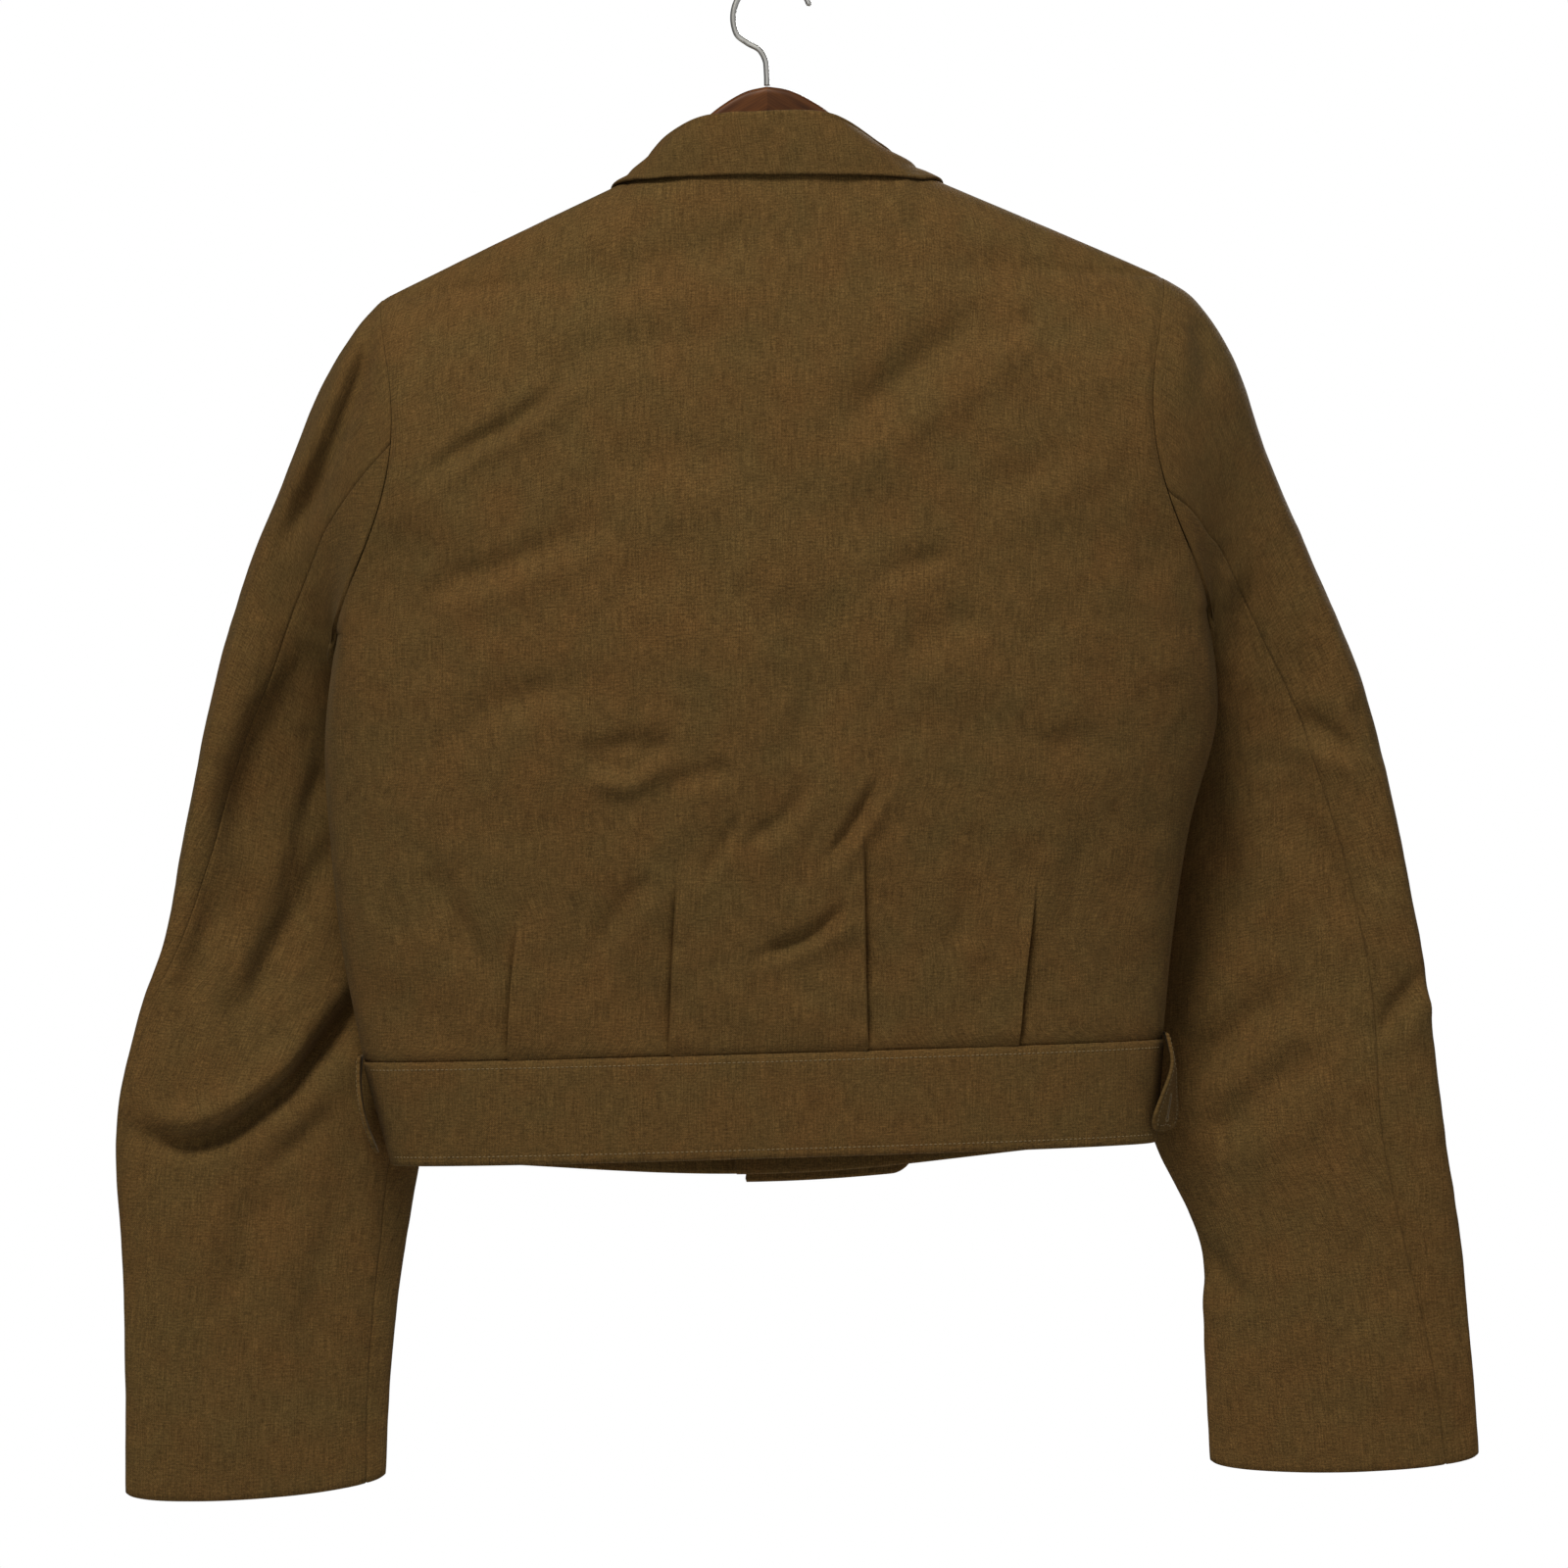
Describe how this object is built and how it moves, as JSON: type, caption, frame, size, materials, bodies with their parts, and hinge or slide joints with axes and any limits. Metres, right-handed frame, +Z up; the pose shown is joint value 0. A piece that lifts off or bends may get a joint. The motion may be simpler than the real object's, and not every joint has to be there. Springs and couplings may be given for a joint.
{
  "type": "ike jacket on hanger",
  "caption": "Waist-length wool uniform jacket with fitted waistband, turned-down collar, lapels, flapped chest pockets and tucked back, hung empty on a plain wooden hanger with a wire hook",
  "frame": {"origin": "the top of the hook's inside, where it rests on a rail", "axes": "+Z up; the jacket's back faces -Y and its front +Y; the wearer's left is -X"},
  "size_m": [0.7829, 0.1693, 0.8733],
  "materials": {
    "wool": "heavy olive-drab wool serge, dull, with a fine heathered thread",
    "wood": "dark red-brown varnished wood",
    "hook_steel": "plain bright steel wire",
    "button": "plain dark brown, satin"
  },
  "bodies": {
    "root": {"back": "wool", "front_left": "wool", "front_right": "wool", "lapel_left": "wool", "lapel_right": "wool", "collar": "wool", "sleeve_left_top": "wool", "sleeve_left_under": "wool", "sleeve_right_top": "wool", "sleeve_right_under": "wool", "waistband_back": "wool", "waistband_front_left": "wool", "waistband_front_right": "wool", "waist_tab": "wool", "waist_tab_button": "button", "side_tab_left": "wool", "side_tab_right": "wool", "pocket_left": "wool", "pocket_right": "wool", "pocket_flap_left": "wool", "pocket_flap_right": "wool", "hanger_arms": "wood", "hanger_hook": "hook_steel"}
  },
  "joints": []
}
